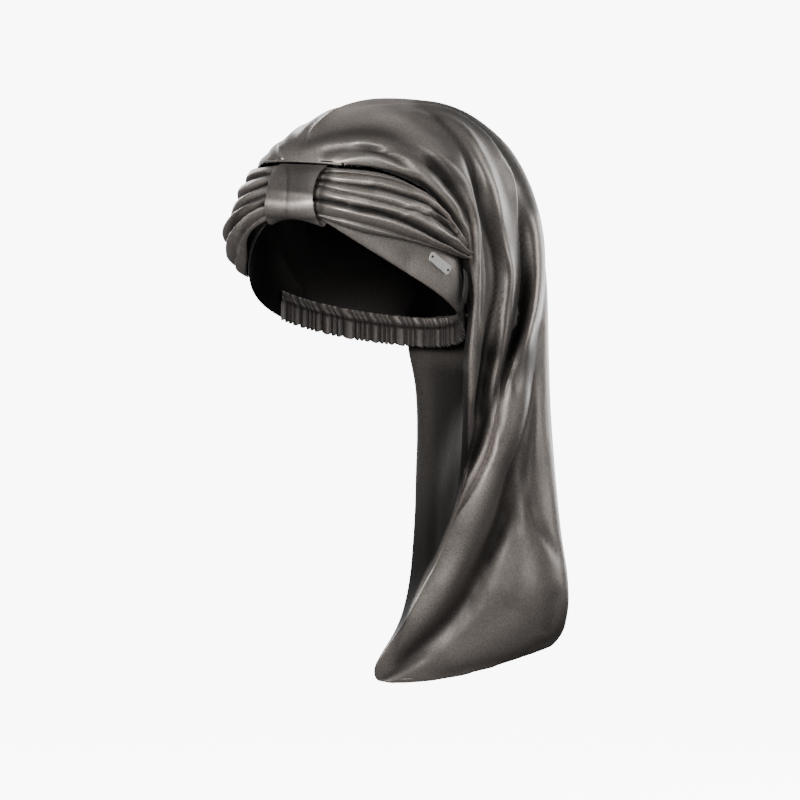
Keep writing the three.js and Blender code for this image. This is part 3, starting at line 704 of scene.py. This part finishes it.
# The tones of these folds are painted light and shade, as in the bag's folds: loop_shadow is the painted
# shadow beside the loop, bright_band a painted highlight across it, and the tab's and band's tones painted
# shade and light
GATHER_FOLDS = (
    Fold("top_dent", -0.004, -0.7, 4, 5, ((380, 166), (392, 170), (404, 180))),
    Fold("top_swell", 0.0008, 0.2, 4, 4, ((330, 172), (356, 171), (380, 174))),
    Fold("puff_light", 0.0006, 1.0, 3, 3, ((330, 183), (345, 187), (362, 188), (376, 186))),
    Fold("second_light", 0.0006, 0.6, 3, 4, ((372, 194), (392, 200), (412, 208), (430, 218))),
    Fold("left_light", 0.0006, 0.4, 2.5, 3, ((322, 195), (336, 200), (352, 203), (372, 207))),
    Fold("start_dent", -0.0012, -0.5, 2, 2, ((321, 204), (332, 204.5), (350, 209))),
    Fold("middle_ridge", 0.001, 0.5, 2, 2, (
        (340, 198), (385, 209), (415, 217), (430, 228), (446, 238), (466, 245),
    )),
    Fold("wave_ridge", 0.0008, 0.5, 1.8, 1.8, (
        (398, 222), (412, 217), (426, 216), (434, 226), (444, 236),
    )),
    Fold("upper_wave", 0.0008, 0.4, 2, 2, ((400, 212), (418, 208), (434, 212), (446, 223), (460, 238))),
    Fold("ear_hollow", -0.002, -0.6, 4, 5, ((432, 212), (444, 224), (458, 240))),
    Fold("lower_shade", -0.0014, -0.5, 3, 4, (
        (350, 212), (376, 216), (400, 222), (422, 232), (448, 248),
    )),
    Fold("lower_ridge", 0.001, 0.5, 2, 2.5, (
        (322, 208), (340, 213), (362, 218), (392, 225), (420, 236), (450, 248),
    )),
    Fold("outer_ridge", 0.001, 0.5, 2.5, 3, ((412, 192), (432, 205), (450, 224), (469, 246))),
    Fold("loop_shadow", 0, -0.7, 4, 4, ((333, 166), (327, 182), (322, 200), (322, 220))),
    Fold("loop_shadow_west", 0, -0.5, 5, 3, ((277, 168), (268, 192), (265, 215))),
    Fold("lobe_valley_top", -0.001, -0.6, 2, 2, ((270, 176), (258, 178), (247, 182))),
    Fold("lobe_valley_low", -0.001, -0.6, 2.5, 2.5, ((267, 201), (250, 207), (238, 218), (232, 236))),
    Fold("lobe_light", 0.001, 0.6, 2, 2, ((267, 208), (250, 217), (240, 234), (239, 258))),
)
LOOP_FOLDS = (
    Fold("upper_part", 0, -0.75, 40, 40, ((300, 150), (299, 180), (297, 200))),
    Fold("bright_band", 0.0006, 2.6, 4, 3, ((262, 204), (285, 208), (305, 208), (325, 206))),
    Fold("pucker", -0.0006, -0.35, 1.5, 1.5, ((290, 166), (289, 190), (288, 206), (289, 224))),
    Fold("lower_edge", -0.0005, -0.6, 3, 3, ((262, 219), (285, 222), (302, 223), (324, 223))),
    Fold("east_edge", 0, -0.4, 2, 2, ((331, 166), (324, 182), (320, 197), (319, 222))),
)
TAB_FOLDS = (Fold("tab_shade", 0, -0.8, 30, 30, ((467, 220), (467, 270), (467, 330))),)
BAND_FOLDS = (
    Fold("front_light", 0, 0.7, 12, 14, ((405, 268), (430, 280), (452, 300))),
    Fold("ear_shade", 0, -0.75, 6, 12, ((462, 252), (460, 290), (462, 330))),
    Fold("middle_shade", 0, -0.4, 12, 14, ((350, 222), (385, 242), (415, 262))),
    Fold("west_shade", 0, -0.9, 40, 30, ((262, 225), (246, 262), (262, 305), (300, 330))),
)
GATHER_COLUMNS = 300
GATHER_ROWS = 78
PRESSED_TO = 11  # degrees from the front that the loop presses flat
FREE_FROM = 28
PLEAT_DEPTH = 0.0050
DEPTH_UNDER_LOOP = 0.25  # share of the depth that is left under the loop
DEPTH_AT_ENDS = 0.4
ENDS_OVER = 14  # degrees over which the pleats deepen from an end
RIDGE_ROUNDNESS = 0.85
EAR_REACH = 13  # degrees that the overlay runs on under the crown's edge on the wearer's left
EAR_SPREAD = 0.003  # how far it stands out there
EAR_SPREAD_TURNS = (70, 104)  # the turns where that starts and is full, as for the next ones
EAR_NARROWING = 0.4  # share of its height that it loses there
EAR_NARROWING_TURNS = (92, 108)
END_MARGIN = 0.3  # degrees at each end of the overlay that its measuring leaves out
EDGE_REACH = 3.2  # degrees to either side whose points give the overlay's edges
OUTSIDE = 0.3  # from where rays towards the axis start
NEAREST = 0.05  # nearer to the axis than any point of the overlay
CLEARANCE = 0.0004
TUCKED_SHARE = 0.1  # the lowest part of the overlay, which curls in under its pleats
TUCK_ROUNDNESS = 1.5
TUCK_EAST = 0.0016
TUCK_WEST = 0.007
TUCK_WEST_TURNS = (20, 60)
# Painted light and shade of the pleats: the valleys are painted dark and the ridges light, by their relief
VALLEY_SHADE = 0.12
SHADE_SPAN = 1.3  # how much lighter the ridges are than the valleys
SHADED_RELIEF = (-0.75, 0.75)

Overlay = namedtuple("Overlay", "turns low high shares radii")


def turned(turn, radius=1.0):
    """A point at a distance from the head's axis, at a turn in degrees from the front"""
    angle = math.radians(turn)
    return Vector((math.sin(angle) * radius, -math.cos(angle) * radius, 0))


def radius_at(surface, turn, height):
    """How far from the head's axis a surface lies at a turn and height, or None"""
    hit = surface.ray_cast(turned(turn, OUTSIDE) + Vector((0, 0, height)), -turned(turn))
    return None if hit[0] is None else OUTSIDE - hit[3]


def running_mean(values, weights):
    """Values each averaged with its neighbours, an odd number of weights at a time"""
    weights = weights / weights.sum()
    return np.convolve(np.pad(values, len(weights) // 2, "edge"), weights, "valid")


def pleat_height(turns, shares):
    """The relief of the pleats between their lines, from about -1 to 1"""
    lines = np.array([[np.interp(t, PLEAT_TURNS, pleat.shares) for t in turns] for pleat in PLEATS])
    heights = np.array([pleat.height for pleat in PLEATS])
    relief = np.zeros(len(turns))
    for i in range(len(PLEATS) - 1):
        low, high = lines[i], lines[i + 1]
        inside = (shares >= low) & (shares <= high)
        t = np.clip((shares - low) / np.maximum(high - low, 1e-6), 0, 1)
        if heights[i + 1] > heights[i]:
            climb = np.sin(t * np.pi / 2) ** RIDGE_ROUNDNESS
        else:
            climb = 1 - np.cos(t * np.pi / 2) ** RIDGE_ROUNDNESS
        relief[inside] = (heights[i] + (heights[i + 1] - heights[i]) * climb)[inside]
    return relief


def overlay_surface(node, columns=90, rows=54):
    """A node's outer face without its pleats: its edges and its distances from the head's axis"""
    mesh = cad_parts[node].data
    surface = surface_of(mesh)
    point_turns = np.array([math.degrees(math.atan2(v.co.x, -v.co.y)) for v in mesh.vertices])
    point_heights = np.array([v.co.z for v in mesh.vertices])
    end = point_turns.max() - END_MARGIN
    turns = np.linspace(-end, end, columns)
    nearby = [point_heights[np.abs(point_turns - turn) < EDGE_REACH] for turn in turns]
    low = running_mean(np.array([heights.min() for heights in nearby]), np.ones(9))
    high = running_mean(np.array([heights.max() for heights in nearby]), np.ones(9))
    shares = np.linspace(0.02, 0.98, rows)
    radii = np.empty((columns, rows))
    for i, turn in enumerate(turns):
        for j, share in enumerate(shares):
            radius = radius_at(surface, turn, low[i] + (high[i] - low[i]) * share)
            radii[i, j] = radius if radius is not None and radius > NEAREST else np.nan
    for column in radii:
        known = ~np.isnan(column)
        column[:] = np.interp(shares, shares[known], column[known])
    over_pleats = np.hanning(2 * (rows // 6) + 3)[1:-1]
    radii = np.array([running_mean(column, over_pleats) for column in radii])
    radii = np.array([running_mean(row, np.ones(5)) for row in radii.T]).T
    return Overlay(turns, low, high, shares, radii)


def overlay_radius(overlay, turn, share):
    """Distances from the axis between the places where the overlay was measured"""
    radii = overlay.radii
    column = np.interp(turn, overlay.turns, np.arange(len(overlay.turns)))
    row = np.interp(share, overlay.shares, np.arange(len(overlay.shares)))
    i = np.minimum(column.astype(int), len(overlay.turns) - 2)
    j = np.minimum(row.astype(int), len(overlay.shares) - 2)
    east, up = column - i, row - j
    return (
        (radii[i, j] * (1 - east) + radii[i + 1, j] * east) * (1 - up)
        + (radii[i, j + 1] * (1 - east) + radii[i + 1, j + 1] * east) * up
    )


def outside_of(node, turns, heights, radii):
    """The same distances from the axis, kept clear of what a node holds at each turn and height"""
    surface = surface_of(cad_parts[node].data)
    kept = radii.copy()
    for i, (turn, height) in enumerate(zip(turns, heights)):
        radius = radius_at(surface, turn, height)
        if radius is not None:
            kept[i] = max(kept[i], radius + CLOTH + CLEARANCE)
    return kept


def faces_head(mesh):
    """Whether a mesh wound round the head's axis has its normals towards the head"""
    face = mesh.polygons[len(mesh.polygons) // 2]
    return face.normal.x * face.center.x + face.normal.y * face.center.y < 0


class NIGHTCAP_OT_gathers(bpy.types.Operator):
    """Makes the pleated overlay of the headband"""

    bl_idname = "nightcap.make_gathers"
    bl_label = "Make gathers"

    def execute(self, context):
        material = satin_material("gather_satin")
        overlay = overlay_surface("gathered_band")
        mesh, across, share = flat_grid("gathers", GATHER_COLUMNS, GATHER_ROWS)
        end = overlay.turns[-1] + EAR_REACH
        turn = overlay.turns[0] + across * (end - overlay.turns[0])
        lower = np.interp(turn, overlay.turns, overlay.low)
        upper = np.interp(turn, overlay.turns, overlay.high)
        narrowed = 1 - EAR_NARROWING * smooth_step(turn, *EAR_NARROWING_TURNS)
        height = lower + (upper - lower) * share * narrowed
        free = smooth_step(np.abs(turn), PRESSED_TO, FREE_FROM)
        ends = smooth_step(end - np.abs(turn), 0, ENDS_OVER)
        relief = pleat_height(turn, share)
        depth = PLEAT_DEPTH * (DEPTH_UNDER_LOOP + (1 - DEPTH_UNDER_LOOP) * free)
        depth = depth * (DEPTH_AT_ENDS + (1 - DEPTH_AT_ENDS) * ends)
        radius = overlay_radius(overlay, turn, share)
        radius += EAR_SPREAD * smooth_step(turn, *EAR_SPREAD_TURNS) + depth * relief
        under = np.clip(1 - share / TUCKED_SHARE, 0, 1) ** TUCK_ROUNDNESS
        radius -= under * np.where(turn < 0, TUCK_WEST * smooth_step(-turn, *TUCK_WEST_TURNS), TUCK_EAST)
        radius = outside_of("front_band", turn, height, radius)
        angle = np.radians(turn)
        write_points(mesh, np.column_stack((np.sin(angle) * radius, -np.cos(angle) * radius, height)))
        # The pleats' painted shade and light go under the folds' painted tones
        sculpt(mesh, GATHER_FOLDS, VALLEY_SHADE + SHADE_SPAN * smooth_step(relief, *SHADED_RELIEF))
        gathers = add_piece("gathers", mesh, material, "satin", "gathered_band")
        thickness = gathers.modifiers.new("thickness", "SOLIDIFY")
        thickness.thickness = CLOTH
        thickness.offset = 1 if faces_head(mesh) else -1
        return {"FINISHED"}


class NIGHTCAP_OT_centre_loop(bpy.types.Operator):
    """Makes the strip round the gathers and the piped seam above it"""

    bl_idname = "nightcap.make_centre_loop"
    bl_label = "Make centre loop"

    def execute(self, context):
        material = satin_material("loop_satin", 0.46)
        loop = subdivided_copy("centre_loop", 3)
        sculpt(loop, LOOP_FOLDS)
        add_piece("loop", loop, material, "satin", "centre_loop")
        add_piece("welt", subdivided_copy("seam_welt", 2), material, "satin", "seam_welt")
        return {"FINISHED"}


# The nape casing: turns in degrees from the front, heights in metres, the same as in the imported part
CASING_FROM = 262
CASING_TO = 105
CASING_HEIGHT = 0.023
CASING_END_HEIGHT = 0.007
CASING_INSET = 0.0046
CASING_END_LIFT = 0.008
CASING_LOW = -0.054
CASING_RISE_LEFT = 0.026
CASING_RISE_RIGHT = 0.018
CASING_RISE_TURN = 73  # degrees from the nape at which it has risen that far
CASING_END_TURN = 14  # degrees over which it narrows to its end by the ear
HEAD_HALF_WIDTH = 0.088
HEAD_BACK = 0.092
STITCHED_AT = 0.68  # share of the casing's height where the elastic is sewn in
RUFFLE_DEPTH = 0.0019
RUFFLE_COLUMNS = 12  # columns of the grid in one ruffle
CASING_ROWS = 22
FRILL = 0.05  # how unevenly the lower edge hangs, as a share of the casing's height
GATHER_SLANT = 0.78  # ruffles that the folds above the stitches lean over
PINCH_SHARE = 0.06  # how far up and down the stitches draw the casing in
PINCH_DEPTH = 0.0012
ELASTIC_WIDTH = 0.0028  # between the row of stitches outside and the one inside
STITCH_RADIUS = 0.00032
STITCH_SHARE = 0.42  # half of a stitch's length, as a share of the gap that it fills
STITCH_LIFT = 0.0004
RUFFLES_START = 12  # degrees over which the ruffles deepen from that end
PINCH_CALM = 0.45  # share of the ruffles' depth that the stitches take
ABOVE_CALM = 0.35  # and that is missing at the upper edge
# Painted light and shade on the casing: darker in the ruffles' creases, at the stitches and at the lower
# edge, lighter on the crests
CREASE_SHADE = 0.3
CREST_SHADE = 0.9  # how much lighter the crests are than the creases
SHADED_WAVE = (-0.9, 0.6)
PINCH_SHADE = 0.5
LOWER_SHADE = 0.6
UPPER_SHADE = 0.5  # how much lighter the upper edge is than the lower one


def casing_point(turn, share, inset):
    """Points on the casing's outer face, by turn, share of its height and distance inwards"""
    from_nape = turn - 180
    rise = np.where(from_nape > 0, CASING_RISE_RIGHT, CASING_RISE_LEFT)
    rise = rise * (from_nape / CASING_RISE_TURN) ** 2
    full = np.clip((turn - CASING_TO) / CASING_END_TURN, 0, 1)
    rise = rise + CASING_END_LIFT * (1 - full)
    height = CASING_LOW + rise + share * (CASING_END_HEIGHT + (CASING_HEIGHT - CASING_END_HEIGHT) * full)
    angle = np.radians(turn)
    return np.column_stack((
        (HEAD_HALF_WIDTH - inset) * np.sin(angle), -(HEAD_BACK - inset) * np.cos(angle), height,
    ))


def ruffle_wave(place):
    """Uneven ruffles, from -1 in the creases to 1 on the crests; place counts them"""
    uneven = place + 0.3 * np.sin(1.7 * place) + 0.25 * np.sin(0.61 * place + 2)
    return 2 * np.abs(np.sin(np.pi * uneven)) ** 0.7 - 1


class NIGHTCAP_OT_nape_casing(bpy.types.Operator):
    """Makes the ruffled elastic casing round the nape, with its row of stitches"""

    bl_idname = "nightcap.make_nape_casing"
    bl_label = "Make nape casing"

    def execute(self, context):
        sizes, colours = context.scene.nightcap_sizes, context.scene.nightcap_colours
        material = satin_material("casing_satin", 0.5, colours.casing)
        mesh, across, share = flat_grid("casing", sizes.ruffle_count * RUFFLE_COLUMNS, CASING_ROWS)
        turn = CASING_TO + across * (CASING_FROM - CASING_TO)
        above = np.maximum(share - STITCHED_AT, 0) / (1 - STITCHED_AT)
        wave = ruffle_wave(across * sizes.ruffle_count - above * GATHER_SLANT)
        ends = smooth_step(turn, CASING_TO, CASING_TO + RUFFLES_START)
        pinch = np.exp(-(((share - STITCHED_AT) / PINCH_SHARE) ** 2))
        depth = RUFFLE_DEPTH * ends * (1 - PINCH_CALM * pinch) * (1 - ABOVE_CALM * above)
        inset = CASING_INSET - wave * depth + PINCH_DEPTH * pinch
        frill = FRILL * ends * wave * smooth_step(1 - share, 0.8, 1)
        write_points(mesh, casing_point(turn, share - frill, inset))
        # Paints shade in the creases, at the stitches and towards the lower edge
        tone = CREASE_SHADE + CREST_SHADE * smooth_step(wave, *SHADED_WAVE)
        write_shade(mesh, tone * (1 - PINCH_SHADE * pinch) * (LOWER_SHADE + UPPER_SHADE * above))
        casing = add_piece("casing", mesh, material, "casing", "nape_casing")
        thickness = casing.modifiers.new("thickness", "SOLIDIFY")
        thickness.thickness = CLOTH / 2
        thickness.offset = 0
        self.sew(sizes, colours)
        return {"FINISHED"}

    def sew(self, sizes, colours):
        length = (HEAD_HALF_WIDTH + HEAD_BACK) / 2 * math.radians(CASING_FROM - CASING_TO)
        count = round(length / sizes.stitch_length)
        turns = np.linspace(CASING_TO + 4, CASING_FROM - 1, count)
        outer = CASING_INSET - STITCH_LIFT
        stitches = bmesh.new()
        for inset in (outer, outer + ELASTIC_WIDTH):
            spots = casing_point(turns, np.full(count, STITCHED_AT), inset)
            for start, end in zip(spots[:-1], spots[1:]):
                add_stitch(stitches, Vector(start), Vector(end))
        mesh = mesh_from("casing_stitches", stitches)
        add_piece("casing_stitches", mesh, thread_material("casing_thread", colours.thread), "casing")


def add_stitch(stitches, start, end, radius=STITCH_RADIUS):
    """One stitch of thread between two points, a little shorter than the gap"""
    along = end - start
    scale = Matrix.Diagonal((radius, radius, along.length * STITCH_SHARE, 1))
    turn = along.to_track_quat("Z", "Y").to_matrix().to_4x4()
    bmesh.ops.create_uvsphere(
        stitches, u_segments=6, v_segments=4, radius=1,
        matrix=Matrix.Translation((start + end) / 2) @ turn @ scale,
    )


HOLE_INSET = 0.0024  # from each end of the plate to its sewing hole
THREAD_REACH = 0.0016
THREAD_LIFT = 0.0005
SEWING_RADIUS = 0.0006


class NIGHTCAP_OT_plate(bpy.types.Operator):
    """Finishes the small metal plate and sews it on through its two holes"""

    bl_idname = "nightcap.make_plate"
    bl_label = "Make plate"

    def execute(self, context):
        colours = context.scene.nightcap_colours
        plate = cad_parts["metal_tag"]
        plate.data.materials.clear()
        plate.data.materials.append(plate_material("brushed_plate", colours.metal))
        points = read_points(plate.data)
        middle = points.mean(0)
        _, _, axes = np.linalg.svd(points - middle)
        along, across, out = (Vector(axis) for axis in axes)
        if out.dot(Vector(middle)) < 0:
            out = -out
        half = np.abs((points - middle) @ axes[0]).max()
        stitches = bmesh.new()
        for side in (-1, 1):
            hole = Vector(middle) + along * side * (half - HOLE_INSET) + out * THREAD_LIFT
            for lean in (-1, 1):
                reach = (across + along * lean * side).normalized() * THREAD_REACH
                add_stitch(stitches, hole - reach, hole + reach, SEWING_RADIUS)
        mesh = mesh_from("plate_thread", stitches)
        add_piece("plate_thread", mesh, thread_material("plate_sewing", colours.thread), "plate")
        return {"FINISHED"}


# Stage
Light = namedtuple("Light", "name azimuth elevation distance side power")
LIGHTS = (
    Light("key", 6, 26, 1.5, 0.5, 21),
    Light("side", 54, 8, 1.8, 0.8, 8),
    Light("east", 135, 14, 1.8, 0.9, 9),
    Light("west", 240, 16, 1.8, 0.9, 14),
    Light("back", 190, 6, 1.8, 0.9, 12),
)
WHITE = (1, 1, 1, 1)
ROOM_RADIUS = 20
FLOOR_GLOW = 9.0
WORLD_STRENGTH = 0.05


def direction(azimuth, elevation):
    """Unit vector towards an azimuth (0 in front, 90 on +X) and elevation, in degrees"""
    a, e = math.radians(azimuth), math.radians(elevation)
    return Vector((math.sin(a) * math.cos(e), -math.cos(a) * math.cos(e), math.sin(e)))


class NIGHTCAP_OT_stage(bpy.types.Operator):
    """Makes the floor, the lights and the camera"""

    bl_idname = "nightcap.make_stage"
    bl_label = "Make stage"

    def execute(self, context):
        sizes = context.scene.nightcap_sizes
        colours = context.scene.nightcap_colours
        self.make_floor(sizes, colours)
        self.make_world()
        for light in LIGHTS:
            self.make_light(light)
        self.make_camera(sizes)
        return {"FINISHED"}

    def make_floor(self, sizes, colours):
        material, nodes, _ = new_material("pale_floor")
        set_inputs(nodes["Principled BSDF"], {
            "Base Color": (*colours.floor, 1), "Roughness": 0.9, "Emission Color": WHITE,
            "Emission Strength": FLOOR_GLOW,
        })
        floor = bmesh.new()
        bmesh.ops.create_grid(floor, x_segments=1, y_segments=1, size=ROOM_RADIUS)
        bmesh.ops.translate(floor, verts=floor.verts, vec=(0, 0, CAD_BOX[0].z - sizes.floor_drop))
        self.add_stage_piece("floor", floor, material)
        backdrop = bmesh.new()
        bmesh.ops.create_uvsphere(backdrop, u_segments=48, v_segments=24, radius=ROOM_RADIUS)
        bmesh.ops.reverse_faces(backdrop, faces=backdrop.faces)
        self.add_stage_piece("backdrop", backdrop, material)

    def add_stage_piece(self, name, shape, material):
        mesh = mesh_from(name, shape)
        mesh.materials.append(material)
        piece = new_object(name, mesh)
        piece.visible_diffuse = False
        piece.visible_glossy = False
        piece.visible_shadow = False

    def make_world(self):
        world = bpy.data.worlds.new("studio")
        world.use_nodes = True
        background = world.node_tree.nodes["Background"]
        set_inputs(background, {"Color": WHITE, "Strength": WORLD_STRENGTH})
        bpy.context.scene.world = world

    def make_light(self, light):
        lamp = bpy.data.lights.new(light.name, "AREA")
        lamp.shape = "SQUARE"
        lamp.size = light.side
        lamp.energy = light.power
        holder = new_object(light.name, lamp)
        towards = direction(light.azimuth, light.elevation)
        holder.location = CAD_MIDDLE + towards * light.distance
        holder.rotation_euler = towards.to_track_quat("Z", "Y").to_euler()

    def make_camera(self, sizes):
        camera = bpy.data.cameras.new("camera")
        camera.sensor_width = 36
        seen_width = PICTURE_SIDE * METRES_PER_PIXEL
        camera.lens = camera.sensor_width * sizes.camera_distance / seen_width
        camera.clip_end = 100
        holder = new_object("camera", camera)
        centre = Vector((PICTURE_SIDE / 2, PICTURE_SIDE / 2)) - ORIGIN_PIXEL
        depth = AWAY.dot(CAD_MIDDLE)
        up = -centre.y * METRES_PER_PIXEL
        target = ACROSS * centre.x * METRES_PER_PIXEL + AWAY * depth
        target.z = (up - depth * math.sin(VIEW_ELEVATION)) / math.cos(VIEW_ELEVATION)
        holder.location = target + TO_CAMERA * sizes.camera_distance
        holder.rotation_euler = TO_CAMERA.to_track_quat("Z", "Y").to_euler()
        bpy.context.scene.camera = holder


class NIGHTCAP_PT_panel(bpy.types.Panel):
    """Lists the pieces of the nightcap"""

    bl_idname = "NIGHTCAP_PT_panel"
    bl_label = "Nightcap"
    bl_space_type = "VIEW_3D"
    bl_region_type = "UI"
    bl_category = "Nightcap"

    def draw(self, context):
        for group in (context.scene.nightcap_sizes, context.scene.nightcap_colours):
            for name in group.__annotations__:
                self.layout.prop(group, name)
        for operator in OPERATORS:
            self.layout.operator(operator.bl_idname)


OPERATORS = (
    NIGHTCAP_OT_bag,
    NIGHTCAP_OT_headband,
    NIGHTCAP_OT_gathers,
    NIGHTCAP_OT_centre_loop,
    NIGHTCAP_OT_nape_casing,
    NIGHTCAP_OT_plate,
    NIGHTCAP_OT_stage,
)
CLASSES = (NightcapSizes, NightcapColours, *OPERATORS, NIGHTCAP_PT_panel)


def register():
    for cls in CLASSES:
        bpy.utils.register_class(cls)
    bpy.types.Scene.nightcap_sizes = PointerProperty(type=NightcapSizes)
    bpy.types.Scene.nightcap_colours = PointerProperty(type=NightcapColours)


def unregister():
    del bpy.types.Scene.nightcap_colours
    del bpy.types.Scene.nightcap_sizes
    for cls in reversed(CLASSES):
        bpy.utils.unregister_class(cls)


def main():
    register()
    bpy.ops.nightcap.make_bag()
    bpy.ops.nightcap.make_headband()
    bpy.ops.nightcap.make_gathers()
    bpy.ops.nightcap.make_centre_loop()
    bpy.ops.nightcap.make_nape_casing()
    bpy.ops.nightcap.make_plate()
    bpy.ops.nightcap.make_stage()


if __name__ == "__main__":
    main()
